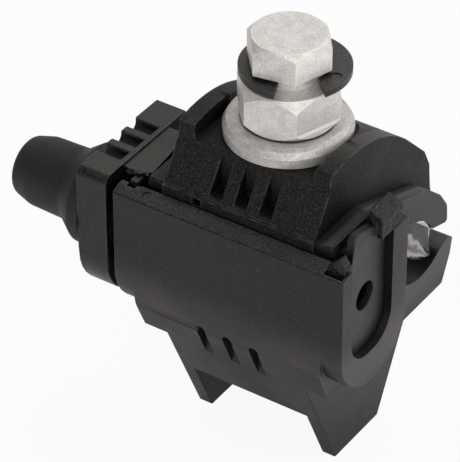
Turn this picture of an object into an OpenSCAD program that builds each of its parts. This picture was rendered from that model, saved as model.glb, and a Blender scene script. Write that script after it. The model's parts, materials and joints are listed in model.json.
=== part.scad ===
// Insulation piercing connector: two moulded jaws drawn together by one shear-head bolt.
// Origin on the bolt axis at the level of the feet. X runs along both conductors,
// the plain front face looks to -Y and the bolt head is at the top.

/* [Conductors] */
// Diameter of the branch conductor channel
tap_d = 10.2; // [8:0.1:11]
// Distance of the branch axis in front of the bolt axis
tap_y = 9.3; // [8.8:0.1:9.8]
// Height of the branch axis above the feet
tap_z = 40.8; // [40:0.1:42]
// Depth of each branch jaw, from the channel wall to the jaw's flat
tap_cup = 2.6; // [2:0.1:3.4]
// Diameter of the upper main groove
main_d = 15.8; // [14:0.1:16.4]
// Distance of the upper main groove axis behind the bolt axis
main_y = 12.8; // [12.4:0.1:13.4]
// Height of the upper main groove axis
main_z = 33.4; // [32.8:0.1:34]
// Diameter of the lower main trough
trough_d = 19; // [17:0.1:20]
// How far the trough axis lies behind the groove axis
trough_shift = 2.2; // [1.8:0.1:2.6]
// Height of the lowest line of the trough
trough_floor = 27.6; // [27:0.1:28.4]

/* [Lower housing] */
// Overall length of the lower housing along the conductors
body_l = 45.4; // [43:0.1:52]
// Distance of the front face from the bolt axis
front_y = 18.7; // [18.4:0.1:20]
// Thickness of the front wall
wall_t = 3; // [2.4:0.1:3.2]
// Height of the front face's upper edge
front_top = 49.7; // [48:0.1:51]
// Rise of the sloping ledge on top of the front wall
ledge_rise = 1; // [0.6:0.1:2.4]
// Height of the bend where the front face starts to lean back
bend_z = 28.3; // [27:0.1:29.5]
// Radius of that bend
bend_r = 9; // [4:0.5:12]
// Height of the underside beside the trunk
belly_z = 21.5; // [20.5:0.1:22]
// Length of the trunk that carries the legs
trunk_l = 28.3; // [27:0.1:30]
// Width of the gap between the legs
leg_gap = 22.9; // [20:0.1:24]
// Height of the gap between the legs
leg_gap_h = 11.7; // [8:0.1:12.5]
// Front edge of the feet, in front of the bolt axis
foot_front = 5.8; // [5:0.1:7]
// Rear edge of the feet, behind the bolt axis
foot_rear = 8; // [7:0.1:9]
// Rear edge of the trunk at the underside
trunk_rear = 18.9; // [17:0.1:20]
// Length of the lower main jaw behind the end plates
jaw_low_l = 35.4; // [34:0.1:37]
// Outermost reach of the lower main jaw behind the bolt axis
jaw_reach = 25.4; // [25:0.1:27]
// Width of the three slots in the leaning front
vent_w = 1.9; // [1:0.1:2.6]
// Spacing of the slots
vent_pitch = 5.3; // [4:0.1:6]
// Upper end of the slots
vent_top = 28.7; // [27.5:0.1:29.5]
// Depth of the slots from the front face
vent_deep = 3.3; // [2:0.1:3.6]

/* [End plates] */
// Thickness of each end plate
end_t = 4.1; // [3.8:0.1:5]
// Lowest point of the U-shaped end plate
end_bottom = 23.6; // [23:0.1:25]
// Corner radius of the end plate
end_r = 10; // [7:0.5:10]
// Rear face of the post, behind the bolt axis
post_rear = 1.6; // [1:0.1:2.6]
// Height of the post
post_top = 51; // [48:0.1:51.6]
// Width of the post
post_w = 4.7; // [4.2:0.1:5.2]
// Floor of the opening in the end plate
mouth_floor = 29.9; // [29:0.1:31]
// Corner radius of that opening
mouth_r = 5.4; // [4:0.1:6]

/* [Upper housing] */
// Height of the seat under the washer
seat_z = 60; // [59:0.1:62]
// Width of the seat between the arch walls
seat_w = 23.4; // [23:0.1:26]
// Thickness of each arch wall
arch_t = 3.1; // [2.4:0.1:3.3]
// Radius of the arch's crown
arch_r = 26; // [25:0.1:28]
// Height of the crown above the seat
arch_rise = 3.3; // [2.5:0.1:4]
// Distance of the crown in front of the bolt axis
arch_y = 4.4; // [3.5:0.1:5]
// Front end of the arch walls, in front of the bolt axis
arch_front = 10.3; // [9.6:0.1:11]
// Rear face of the arch walls, behind the bolt axis
arch_rear = 21.9; // [21.5:0.1:22.4]
// Free length between the upper jaws and each end plate
jaw_gap = 0.6; // [0.5:0.1:1.6]
// Lower edge of the sloping front
slope_z = 52.6; // [52:0.1:54]
// Height of the roof over the branch jaw
roof_z = 52.3; // [51:0.1:53]
// Thickness of that roof
roof_t = 2; // [1.5:0.1:2.6]
// Free gap between the upper housing and the front wall
slide_gap = 0.9; // [0.4:0.1:1.4]
// Width of the pockets in the sloping front
pocket_w = 2.3; // [1.5:0.1:3]
// Spacing of the pockets
pocket_pitch = 4.85; // [4:0.05:5.5]

/* [Bolt and nut] */
// Nominal diameter of the bolt
bolt_d = 8; // [7.6:0.1:8.4]
// Length of the bolt under its lower head
bolt_l = 51; // [48:0.5:51.5]
// Width across flats of the lower head
head_af = 16; // [15:0.1:17]
// Height of the lower head
head_h = 7.9; // [6:0.1:9]
// Width across flats of the upper, shear-off head
drive_af = 13; // [12:0.1:14]
// Height of the upper head
drive_h = 5.6; // [4.5:0.1:8]
// Diameter of the neck that shears
neck_d = 9; // [8:0.1:9.6]
// Length of the neck
neck_h = 2.7; // [2.4:0.1:4]
// Angle of one corner of the heads from the X axis
head_turn = 10.7; // [0:0.1:60]
// Diameter of the washer
washer_d = 22; // [20:0.1:22.4]
// Thickness of the washer
washer_t = 3.3; // [2:0.1:4]
// Width across flats of the captive nut
nut_af = 13; // [12:0.1:14]
// Height of the captive nut
nut_h = 6.5; // [5:0.1:7]
// Ceiling of the nut pocket
nut_top = 27; // [24:0.1:28]
// Outer diameter of the spanner stop ring
ring_d = 18.9; // [18:0.1:21]
// Thickness of that ring
ring_t = 1.1; // [0.8:0.1:1.4]

/* [Contacts and seals] */
// Thickness of each contact plate
plate_t = 2; // [1.5:0.1:2.6]
// Distance of each contact plate from the bolt axis
plate_x = 9.4; // [9:0.1:10.5]
// How far the teeth stand into the channels
tooth_h = 1.3; // [0.8:0.1:1.8]
// Width of one tooth at its root
tooth_w = 1.7; // [1.2:0.1:2]
// Thickness of the rubber linings
seal_t = 1.2; // [0.8:0.1:1.5]
// Length of the rubber linings
seal_l = 26; // [24:0.5:28]
// Thickness of the clear grease film
film_t = 0.4; // [0.3:0.1:0.8]

/* [Entry seals and end cover] */
// Thickness of each entry seal
entry_t = 1.5; // [1.2:0.1:1.8]
// How far an entry seal reaches into its groove
entry_lip = 0.8; // [0.5:0.1:1]
// Diameter of the pilot hole in an entry seal
pilot_d = 5.3; // [4:0.1:6]
// Thickness of the end cover
cover_t = 6; // [5:0.1:8]
// Gap between the end cover and the housing
cover_gap = 1.2; // [0.5:0.1:1.4]
// Top of the end cover
cover_top = 52; // [51.8:0.1:54]
// Rear edge of the end cover, behind the bolt axis
cover_rear = 5; // [4:0.1:7]
// Width of the three grooves on top of the cover
rib_w = 2.4; // [1.5:0.1:2.8]
// Spacing of those grooves
rib_pitch = 4.3; // [3.6:0.1:4.6]
// Length of the rubber cap outside the cover
cap_l = 17.3; // [14:0.1:26]
// Inner diameter of the rubber cap
cap_d = 10.4; // [8:0.1:10.6]
// Wall of the rubber cap
cap_wall = 1.25; // [0.9:0.05:1.6]
// Diameter of the cap's flared foot
flare_d = 18.2; // [16:0.1:18.6]

/* [Hidden] */
$fn = 64;

// Colours of the moulded plastic, rubber, zinc, tinned contacts and clear film
plastic = "#2a2a2b";
rubber = "#1b1b1c";
zinc = "#c9c9c6";
tinned = "#b5b3ab";
clear = "#c4cbd2";

// Clearance of pieces that seat in one another, of turning fits and of the bolt's way through
fit = 0.1;
thread_fit = 0.05;
bolt_play = 0.4;
// Free height between pieces that turn or slide on one another
rest_gap = 0.05;
// How far cutting bodies run past what they cut, and fused bodies into one another
past = 1;
fuse = 0.2;
// Steps of a rounded corner and of a long arc
corner_steps = 8;
arc_steps = 24;
// Thinnest moulded wall and the radius of small moulded edges
thin = 0.8;
edge_r = 0.6;
// How far the crown of the upper main groove lies above its front lip
lip_rise = 1.3;
// Walls at the ends of the upper main groove: thickness, and axis and radius of their opening
hook_wall = 0.7;
hook_mouth = [8.5, 31];
hook_mouth_r = 10.7;
// Room between the neck and the stop ring
ring_room = 1.1;
// Pocket in the front limb of the right end plate: skin left around it and depth below the front edge
limb_skin = 0.5;
limb_deep = 0.7;
// Ejector marks: place of the one on the ledge along X, radius and depth
mark_x = -16.8;
mark_r = 0.9;
mark_deep = 0.2;
// Small window in the front edge of the upper housing: place along X, size and depth
window_x = -8;
window_w = 1.6;
window_h = 1.3;
window_deep = 2;

// Levels and lengths that several pieces share
shank_r = bolt_d / 2 - thread_fit;
bolt_hole_r = bolt_d / 2 + bolt_play;
cradle_l = body_l - 2 * end_t;
jaw_l = cradle_l - 2 * jaw_gap;
wall_in = front_y - wall_t;
jaw_front = wall_in - slide_gap;
shelf_z = tap_z - tap_d / 2 + tap_cup;
ceiling_z = tap_z + tap_d / 2 - tap_cup;
trough_y = main_y + trough_shift;
trough_r = trough_d / 2;
trough_z = trough_floor + trough_r;
arch_l = seat_w + 2 * arch_t;
tap_axis = [-tap_y, tap_z];
groove_axis = [main_y, main_z];
trough_axis = [trough_y, trough_z];
pillar_rear = bolt_hole_r + thin;
lip_y = pillar_rear + bolt_play;
lip_z = main_z + main_d / 2 - lip_rise;
mouth_rear = post_w - post_rear;
washer_top = seat_z + washer_t;
head_z = washer_top + rest_gap;
neck_z = head_z + head_h;
drive_z = neck_z + neck_h;
ring_in_r = neck_d / 2 + ring_room;

// Unit vector along v
function unit(v) = v / norm(v);

// The first two numbers of a point
function flat(p) = [p[0], p[1]];

// Points of an arc about c
function arc(c, r, from, to, steps) =
  [
    for (i = [0 : steps])
      let (a = from + (to - from) * i / steps)
        c + r * [cos(a), sin(a)]
  ];

// Points that round the corner b between a and c
function corner(a, b, c, r) =
  let (
    u = unit(a - b),
    v = unit(c - b),
    half = acos(u * v) / 2,
    centre = b + unit(u + v) * r / sin(half),
    start = b + u * r / tan(half),
    from = atan2(start[1] - centre[1], start[0] - centre[0]),
    turn = -sign(u[0] * v[1] - u[1] * v[0]) * (180 - 2 * half)
  )
  arc(centre, r, from, from + turn, corner_steps);

// Closed outline from points that each give y, z and a corner radius
function rounded(path) =
  let (n = len(path))
  [
    for (i = [0 : n - 1])
      each path[i][2] > 0
        ? corner(flat(path[(i + n - 1) % n]), flat(path[i]), flat(path[(i + 1) % n]), path[i][2])
        : [flat(path[i])]
  ];

// Front lean of the trunk at height z
function lean_y(z) = -foot_front - (front_y - foot_front) * z / bend_z;

// Point of a circle about [y, z] at height h, on the front or the rear side
function on_circle(y, z, r, h, side) = [y + side * sqrt(r * r - (h - z) * (h - z)), h];

// Part of a disc about the axis of a channel, half to each side of the angle middle
function wedge(axis, r, middle, half) =
  concat([axis], arc(axis, 2 * r, middle - half, middle + half, corner_steps));

// U-shaped opening of the end plates, grown by g and open up to top
function mouth(g, top) =
  rounded([
    [-wall_in - g, top, 0],
    [-wall_in - g, mouth_floor - g, mouth_r + g],
    [-mouth_rear + g, mouth_floor - g, mouth_r + g],
    [-mouth_rear + g, top, 0]
  ]);

// Section through the lower jaws, from the front wall to the rim of the main jaw;
// the points of the trough lie inside its circle, which is cut out later
rim_out = 3;
rim_in = 1.5;
pillar_foot = 6;
belly_in = 3;
jaw_tip_z = trough_floor + rim_out;
trough_rear = on_circle(trough_y, trough_z, trough_r - fuse, trough_floor + rim_in, 1);
trough_front = on_circle(trough_y, trough_z, trough_r - fuse, trough_floor + pillar_foot, -1);
cradle_section = rounded([
  [-front_y, bend_z, bend_r],
  [-front_y, front_top, 0],
  [-wall_in, front_top + ledge_rise, 0],
  [-wall_in, shelf_z, 0],
  [pillar_rear, shelf_z, 0],
  [trough_front[0], trough_front[1], 0],
  [trough_rear[0], trough_rear[1], 0],
  [jaw_reach - 2 * edge_r, jaw_tip_z, edge_r],
  [jaw_reach, jaw_tip_z - 1.6 * edge_r, edge_r],
  [jaw_reach - edge_r, jaw_tip_z - rim_out - past, belly_in - past],
  [jaw_reach - belly_in, belly_z, 0],
  [lean_y(belly_z), belly_z, 0]
]);

// Section through the trunk, from the feet up into the cradle
trunk_section = [
  [-foot_front, 0],
  [foot_rear, 0],
  [trunk_rear, belly_z],
  [trunk_rear, belly_z + past],
  [lean_y(belly_z), belly_z + past],
  [lean_y(belly_z), belly_z]
];

// Outline of the end plates
end_section = rounded([
  [-front_y, front_top, 0],
  [-front_y, end_bottom, end_r],
  [post_rear, end_bottom, end_r - 1],
  [post_rear, post_top, 0],
  [-mouth_rear - past, post_top, 0],
  [-wall_in - past, front_top + ledge_rise - past * ledge_rise / wall_t, 0],
]);

// Section through the upper housing between the outer faces of the arch walls
crown_z = seat_z + arch_rise - arch_r;
arch_top = [-arch_y, crown_z];
arch_front_angle = 90 + asin((arch_front - arch_y) / arch_r);
arch_rear_angle = 46;
arch_end = arch_top + arch_r * [cos(arch_rear_angle), sin(arch_rear_angle)];
arch_foot = arch_rear - 2;
arch_foot_z = arch_end[1] - (arch_foot - arch_end[0]);
hook_out = arch_rear + 0.9;
hook_tip_z = main_z + 1.3;
hook_back_z = main_z + 5.1;
// Points inside the groove, which is cut out later
groove_rear = [main_y + main_d / 4, main_z + main_d / 5];
groove_front = [main_y, lip_z];
core_section = concat(
  [
    [-jaw_front, ceiling_z],
    [-jaw_front, slope_z],
    [-arch_front, seat_z]
  ],
  arc(arch_top, arch_r, arch_front_angle, arch_rear_angle, arc_steps),
  [
    [arch_foot, arch_foot_z],
    [arch_rear - edge_r / 2, arch_foot_z - 3.5],
    [arch_rear, hook_back_z + 3.1],
    [arch_rear + edge_r, hook_back_z],
    [hook_out, hook_tip_z],
    groove_rear,
    groove_front,
    [lip_y, lip_z],
    [lip_y, ceiling_z]
  ]
);

// Section through the roofs and the hook beyond the arch walls
roof_section = rounded([
  [-jaw_front + fit, roof_z - roof_t, 0],
  [-jaw_front + fit, roof_z, edge_r],
  [-mouth_rear + edge_r, roof_z, 3],
  [main_y - 5.9, roof_z - 3.6, 6],
  [main_y + 2.9, roof_z - 6.5, 5],
  [main_y + 7.2, roof_z - 10.2, 4],
  [hook_out - edge_r / 2, hook_back_z, 2],
  [hook_out, hook_tip_z, edge_r],
  [groove_rear[0], groove_rear[1], 0],
  [groove_front[0], groove_front[1], 0],
  [lip_y, lip_z, 0],
  [lip_y, ceiling_z, 0],
  [-mouth_rear - 1, ceiling_z + 2, 0],
  [-mouth_rear - 1, roof_z - roof_t, 0]
]);

// A prism along X from a section in Y and Z
module prism_x(section, from, to) {
  translate([from, 0, 0])
    rotate([90, 0, 90])
      linear_extrude(to - from)
        polygon(section);
}

// A round bar along X
module bar_x(r, y, z, from, to) {
  translate([from, y, z])
    rotate([0, 90, 0])
      cylinder(r = r, h = to - from);
}

// The same piece at both ends
module both_ends() {
  for (side = [0, 1])
    mirror([side, 0, 0])
      children();
}

// A hexagonal prism about the bolt axis
module hex_bar(af, from, to) {
  translate([0, 0, from])
    rotate([0, 0, head_turn])
      cylinder(d = af / cos(30), h = to - from, $fn = 6);
}

// One end plate, with its open mouth and the groove that holds the entry seal
module end_plate() {
  difference() {
    prism_x(end_section, cradle_l / 2 - fuse, body_l / 2);
    prism_x(mouth(0, seat_z), cradle_l / 2 - past, body_l / 2 + past);
    prism_x(mouth(entry_lip + fit, seat_z), entry_from - fit, entry_from + entry_t + fit);
  }
}

// Room behind one end plate, where the lower main jaw ends short of it
module jaw_recess() {
  translate([jaw_low_l / 2, post_rear, belly_z - past])
    cube([body_l, jaw_reach, shelf_z]);
}

// Pocket in the front limb of the right end plate, for the corner block of its seal
module limb_pocket() {
  translate([cradle_l / 2, -front_y + limb_skin, front_top - limb_deep])
    cube([end_t - limb_skin, wall_t, seat_z]);
}

// Round mark that an ejector pin left on the sloping ledge
module ejector_mark() {
  middle = 0.55;
  translate([mark_x, -front_y + middle * wall_t, front_top + middle * ledge_rise])
    rotate([atan2(ledge_rise, wall_t), 0, 0])
      translate([0, 0, -mark_deep])
        cylinder(r = mark_r, h = past);
}

// Slot that takes one contact plate, open on the jaw side
module plate_slot(section) {
  both_ends()
    prism_x(section, plate_x - plate_t / 2 - fit, plate_x + plate_t / 2 + fit);
}

module lower_housing() {
  color(plastic)
    difference() {
      union() {
        prism_x(cradle_section, -cradle_l / 2, cradle_l / 2);
        prism_x(trunk_section, -trunk_l / 2, trunk_l / 2);
        both_ends()
          end_plate();
      }
      translate([-leg_gap / 2, -front_y, -past])
        cube([leg_gap, front_y + jaw_reach, leg_gap_h + past]);
      for (i = [-1 : 1])
        vent(i * vent_pitch);
      bar_x(trough_r, trough_y, trough_z, -body_l, body_l);
      bar_x(tap_d / 2, -tap_y, tap_z, -body_l / 2, body_l / 2);
      translate([0, 0, leg_gap_h - past])
        cylinder(r = bolt_hole_r, h = shelf_z);
      hex_bar(nut_af + 2 * fit, leg_gap_h - past, nut_top);
      lining(trough_axis, trough_r, trough_turn, trough_half[0], fit);
      lining(tap_axis, tap_d / 2, -90, tap_half[0], fit);
      plate_slot(lower_plate_outline(fit, tap_z));
      both_ends()
        jaw_recess();
      limb_pocket();
      ejector_mark();
    }
}

// One slot of the leaning front, with a round upper end
module vent(x) {
  translate([x - vent_w / 2, -front_y - past, belly_z - 2])
    cube([vent_w, vent_deep + past, vent_top - vent_w / 2 - belly_z + 2]);
  translate([x, -front_y - past, vent_top - vent_w / 2])
    rotate([-90, 0, 0])
      cylinder(d = vent_w, h = vent_deep + past);
}

module upper_housing() {
  pocket_lip = 0.4;
  color(plastic)
    difference() {
      union() {
        prism_x(core_section, -arch_l / 2, arch_l / 2);
        both_ends()
          prism_x(roof_section, arch_l / 2 - fuse, jaw_l / 2);
      }
      seat_pocket();
      for (i = [-1 : 1])
        translate([i * pocket_pitch - pocket_w / 2, -front_y, slope_z + pocket_lip])
          cube([pocket_w, front_y - arch_front - pocket_lip, seat_z]);
      translate([window_x - window_w / 2, -jaw_front - past, slope_z - pocket_lip - window_h])
        cube([window_w, window_deep + past, window_h]);
      bar_x(main_d / 2, main_y, main_z, hook_wall - jaw_l / 2, jaw_l / 2 - hook_wall);
      both_ends()
        bar_x(hook_mouth_r, hook_mouth[0], hook_mouth[1], jaw_l / 2 - hook_wall, body_l);
      bar_x(tap_d / 2, -tap_y, tap_z, -body_l, body_l);
      cylinder(r = bolt_hole_r, h = washer_top);
      lining(groove_axis, main_d / 2, groove_turn, groove_half[0], fit);
      lining(tap_axis, tap_d / 2, 90, tap_half[0], fit);
      plate_slot(upper_plate_outline(fit, ceiling_z - past, main_z));
    }
}

// Room for the washer: open to the front, round behind the bolt
module seat_pocket() {
  translate([0, 0, seat_z])
    cylinder(d = seat_w, h = arch_r);
  translate([-seat_w / 2, -front_y, seat_z])
    cube([seat_w, front_y, arch_r]);
}

module shear_bolt() {
  color(zinc) {
    translate([0, 0, head_z - bolt_l])
      cylinder(r = shank_r, h = bolt_l + fuse);
    bolt_head(head_af, head_z, head_h, head_h / 4, head_h / 8);
    translate([0, 0, neck_z - fuse])
      cylinder(d = neck_d, h = neck_h + 2 * fuse);
    bolt_head(drive_af, drive_z, drive_h, drive_h / 4, 0);
  }
}

// A hexagonal head whose corners are turned off at the top and, where low is given, below
module bolt_head(af, from, h, high, low) {
  corner_r = af / cos(30) / 2;
  round_r = af / 2 * 0.97;
  intersection() {
    hex_bar(af, from, from + h);
    translate([0, 0, from])
      rotate_extrude()
        polygon([
          [0, 0],
          [low > 0 ? round_r : corner_r + fuse, 0],
          [corner_r + fuse, low > 0 ? low * 2 : fuse],
          [corner_r + fuse, h - high],
          [round_r, h],
          [0, h]
        ]);
  }
}

module spanner_stop_ring() {
  ring_shift = ring_room - fit;
  shift_turn = 34;
  lift = neck_h - ring_t - 2 * fuse;
  gap_turn = -56;
  gap_left = [1.6, 6.2];
  gap_right = [2.5, 7.5];
  gap = [[0, -gap_left[0]], [ring_d, -gap_left[1]], [ring_d, gap_right[1]], [0, gap_right[0]]];
  pin_mark = [7.5, 0.5];
  color(rubber)
    translate([ring_shift * cos(shift_turn), ring_shift * sin(shift_turn), neck_z + lift])
      difference() {
        cylinder(d = ring_d, h = ring_t);
        translate([pin_mark[0], pin_mark[1], ring_t - mark_deep])
          cylinder(r = mark_r + fuse, h = past);
        translate([0, 0, -past])
          cylinder(r = ring_in_r, h = ring_t + 2 * past);
        rotate([0, 0, gap_turn])
          translate([0, 0, -past])
            linear_extrude(ring_t + 2 * past)
              polygon(gap);
      }
}

module washer() {
  edge = washer_t * 0.12;
  color(zinc)
    translate([0, 0, seat_z])
      rotate_extrude()
        polygon([
          [bolt_hole_r, 0],
          [washer_d / 2 - edge, 0],
          [washer_d / 2, edge],
          [washer_d / 2, washer_t * 0.66],
          [washer_d / 2 - 2 * edge, washer_t * 0.88],
          [washer_d / 2 - 5 * edge, washer_t],
          [bolt_hole_r, washer_t]
        ]);
}

module captive_nut() {
  color(zinc)
    difference() {
      hex_bar(nut_af, nut_top - nut_h, nut_top);
      translate([0, 0, nut_top - nut_h - past])
        cylinder(r = bolt_d / 2, h = nut_h + 2 * past);
    }
}

// How far the contact plates stay behind the jaws' flats, and how deep they reach behind the channels
plate_back = 0.8;
plate_front = tap_y + 4.3;
plate_depth = 1.7;
plate_low = trough_floor - seal_t - 2.4;
plate_rear = trough_y + 4.4;
hook_plate_rear = main_y + 7;
// Angles on which the teeth of the main channel point, and those of the branch channel
trough_turn = -100;
groove_turn = 78;
// Half widths of the rubber linings and of the windows for the teeth in them, as angles
tap_half = [47, 41];
trough_half = [36, 29];
groove_half = [40, 34];

// Outline of a lower contact plate's body, grown by g and reaching up to top
function lower_plate_outline(g, top) =
  let (under = tap_z - tap_d / 2 - seal_t - plate_depth)
  [
    [-plate_front - g, top],
    [-plate_front - g, under - g],
    [plate_t - g, under - g],
    [pillar_rear - g, plate_low - g],
    [plate_rear + g, plate_low - g],
    [plate_rear + g, top]
  ];

// Outline of an upper contact plate's body, grown by g; front and rear give its lower edges
function upper_plate_outline(g, front, rear) =
  let (over = tap_z + tap_d / 2 + seal_t + plate_depth)
  [
    [-plate_front - g, front],
    [lip_y + thin - g, front],
    [lip_y + thin - g, rear],
    [hook_plate_rear + g, rear],
    [hook_plate_rear + g, over - 4 * plate_depth + g],
    [main_y + g, over - 2 * plate_depth + g],
    [lip_y + g, over + g],
    [-plate_front - g, over + g]
  ];

// Teeth of one channel: each stands on the plate and points to the channel's axis
module teeth(axis, r, middle, count) {
  root = r + seal_t + fit + 2 * fuse;
  half = tooth_w / 2;
  step = 2.1 * asin(half / r);
  translate(axis)
    for (i = [0 : count - 1])
      rotate(middle + (i - (count - 1) / 2) * step)
        polygon([[root, -half], [root, half], [r, half], [r - tooth_h, 0], [r, -half]]);
}

// A plate's body with round cuts behind the linings of the branch and the main channel
module plate_body(outline, main_axis, main_r) {
  difference() {
    polygon(outline);
    translate(tap_axis)
      circle(r = tap_d / 2 + seal_t + fit);
    translate(main_axis)
      circle(r = main_r + seal_t + fit);
  }
}

// One toothed contact plate in the lower jaws
module lower_contact(x) {
  color(tinned)
    translate([x - plate_t / 2, 0, 0])
      rotate([90, 0, 90])
        linear_extrude(plate_t) {
          plate_body(lower_plate_outline(0, shelf_z - plate_back), trough_axis, trough_r);
          teeth(tap_axis, tap_d / 2, -90, 4);
          teeth(trough_axis, trough_r, trough_turn, 5);
        }
}

// One toothed contact plate in the upper jaws
module upper_contact(x) {
  outline = upper_plate_outline(0, ceiling_z + plate_back, lip_z + plate_back);
  color(tinned)
    translate([x - plate_t / 2, 0, 0])
      rotate([90, 0, 90])
        linear_extrude(plate_t) {
          plate_body(outline, groove_axis, main_d / 2);
          teeth(tap_axis, tap_d / 2, 90, 4);
          teeth(groove_axis, main_d / 2, groove_turn, 5);
        }
}

module upper_contact_left() upper_contact(-plate_x);
module upper_contact_right() upper_contact(plate_x);
module lower_contact_left() lower_contact(-plate_x);
module lower_contact_right() lower_contact(plate_x);

// The seat of a rubber lining behind a channel of radius r, grown by g
module lining(axis, r, middle, half, g) {
  intersection() {
    bar_x(r + seal_t + g, axis[0], axis[1], -seal_l / 2 - g, seal_l / 2 + g);
    prism_x(wedge(axis, r, middle, half + atan(g / r)), -seal_l, seal_l);
  }
}

// A lining with its channel bored out and two windows for the teeth
module seal(axis, r, middle, halves) {
  color(rubber)
    difference() {
      lining(axis, r, middle, halves[0], 0);
      bar_x(r, axis[0], axis[1], -seal_l, seal_l);
      plate_slot(wedge(axis, r, middle, halves[1]));
    }
}

module upper_main_seal() seal(groove_axis, main_d / 2, groove_turn, groove_half);
module lower_main_seal() seal(trough_axis, trough_r, trough_turn, trough_half);
module upper_tap_seal() seal(tap_axis, tap_d / 2, 90, tap_half);
module lower_tap_seal() seal(tap_axis, tap_d / 2, -90, tap_half);

// Clear film that hangs from the upper main groove at the open end
module grease_film() {
  hang_r = main_d / 2 - rest_gap;
  outer = jaw_l / 2 - thin;
  hung_from = 130;
  hung_to = 28;
  torn_edge = [[3.8, 0.9], [4.6, -3.4], [0.3, -0.7], [-3.1, 2.5]];
  color(clear)
    prism_x(
      concat(
        arc(groove_axis, hang_r, hung_from, hung_to, arc_steps),
        [for (p = torn_edge) groove_axis + p]
      ),
      outer - film_t,
      outer
    );
}

// Inner face of the right entry seal, and the free edges of both seals above the end plates' limbs
entry_from = body_l / 2 - entry_t * 2;
entry_free = -wall_in + fit;
entry_rear = -mouth_rear - fit;

// An entry seal's plate: in its groove below, free above the limbs of the end plate
module entry_plate(top_path) {
  from = entry_from;
  groove_top = front_top - 1;
  difference() {
    union() {
      prism_x(mouth(entry_lip, groove_top), from, from + entry_t);
      prism_x(top_path, from, from + entry_t);
    }
    bar_x(pilot_d / 2, -tap_y, tap_z, from - past, from + entry_t + past);
  }
}

// Block of the right entry seal that sits in the pocket of the front limb
module corner_block() {
  from = cradle_l / 2 + fit;
  to = body_l / 2 - limb_skin - fit;
  depth = 1.8;
  high = 3.9;
  translate([0, entry_free + 2 * fuse, front_top - limb_deep + rest_gap])
    rotate([90, 0, 0])
      linear_extrude(depth + fuse)
        polygon([[from, 0], [to, 0], [to, high - 1.3], [to - 1.1, high], [from, high - 2.2]]);
}

module entry_seal_right() {
  lump_h = 4.8;
  lump_t = 2.8;
  lump_l = post_w + 1.5;
  lump_rear = post_rear - 3 * edge_r;
  color(rubber) {
    entry_plate(rounded([
      [entry_free, tap_z, 0],
      [entry_rear, tap_z, 0],
      [entry_rear, post_top + 1.6, 0],
      [entry_free + 3, post_top + 4, 1.4],
      [entry_free + 2, front_top, 0],
      [entry_free, front_top, 0]
    ]));
    corner_block();
    translate([0, lump_rear, post_top + rest_gap])
      rotate([90, 0, 0])
        linear_extrude(lump_l)
          polygon([
            [entry_from, 0],
            [entry_from + lump_t, 0],
            [entry_from + lump_t, lump_h - 1],
            [entry_from, lump_h]
          ]);
  }
}

module entry_seal_left() {
  color(rubber)
    mirror([1, 0, 0])
      entry_plate([
        [entry_free, tap_z],
        [entry_rear, tap_z],
        [entry_rear, post_top],
        [entry_free, post_top]
      ]);
}

// Axis of the rubber cap, a little further forward than the branch axis
cap_shift = 0.9;
cap_y = -tap_y - cap_shift;
cap_z = tap_z - fit;
cap_r = cap_d / 2 + cap_wall;
flange_w = 1.2;
flange_r = cap_r + flange_w;
flange_t = 1.4;
cover_in = -body_l / 2 - cover_gap;
cover_out = cover_in - cover_t;

module end_cover() {
  spigot_to = -entry_from - entry_t - 2 * fit;
  spigot_t = 1.3;
  cover_front = front_y + fuse;
  cover_low = end_bottom + 1.5 * edge_r;
  top_r = 3 * edge_r;
  groove_reach = cover_t * 0.8;
  groove_z = cover_top - edge_r;
  rib_middle = -tap_y + 2;
  color(plastic)
    difference() {
      union() {
        prism_x(
          rounded([
            [-cover_front, cover_top, top_r],
            [-cover_front, cover_low, end_r],
            [cover_rear, cover_low, end_r],
            [cover_rear, cover_top, 0]
          ]),
          cover_out,
          cover_in
        );
        difference() {
          prism_x(mouth(-fit, front_top - 2), cover_in - fuse, spigot_to);
          prism_x(mouth(-fit - spigot_t, front_top), cover_in - past, spigot_to + past);
        }
        tongue();
      }
      for (i = [-1 : 1])
        translate([0, rib_middle + i * rib_pitch, groove_z]) {
          bar_x(rib_w / 2, 0, 0, cover_out - past, cover_out + groove_reach);
          translate([cover_out - past, -rib_w / 2, 0])
            cube([groove_reach + past, rib_w, past]);
        }
      bar_x(cap_r + fit, cap_y, cap_z, cover_out - past, cover_in + past);
      bar_x(flange_r + fit, cap_y, cap_z, cover_in - flange_t - fit, spigot_to + past);
    }
}

// Thin tongue of the cover that reaches over the housing's end
module tongue() {
  from = cover_in - fuse;
  to = -jaw_l / 2 - edge_r;
  low = max(post_top, front_top) + 2 * fit;
  step = 0.3;
  rear = post_rear - 2;
  translate([0, 0, low])
    linear_extrude(cover_top - step - low)
      polygon([
        [from, -wall_in + 2.2],
        [to - 2.2, -wall_in + 1.6],
        [to, -wall_in + 3],
        [to - thin, -mouth_rear - 2],
        [to - 2.6, rear],
        [from, rear]
      ]);
}

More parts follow.
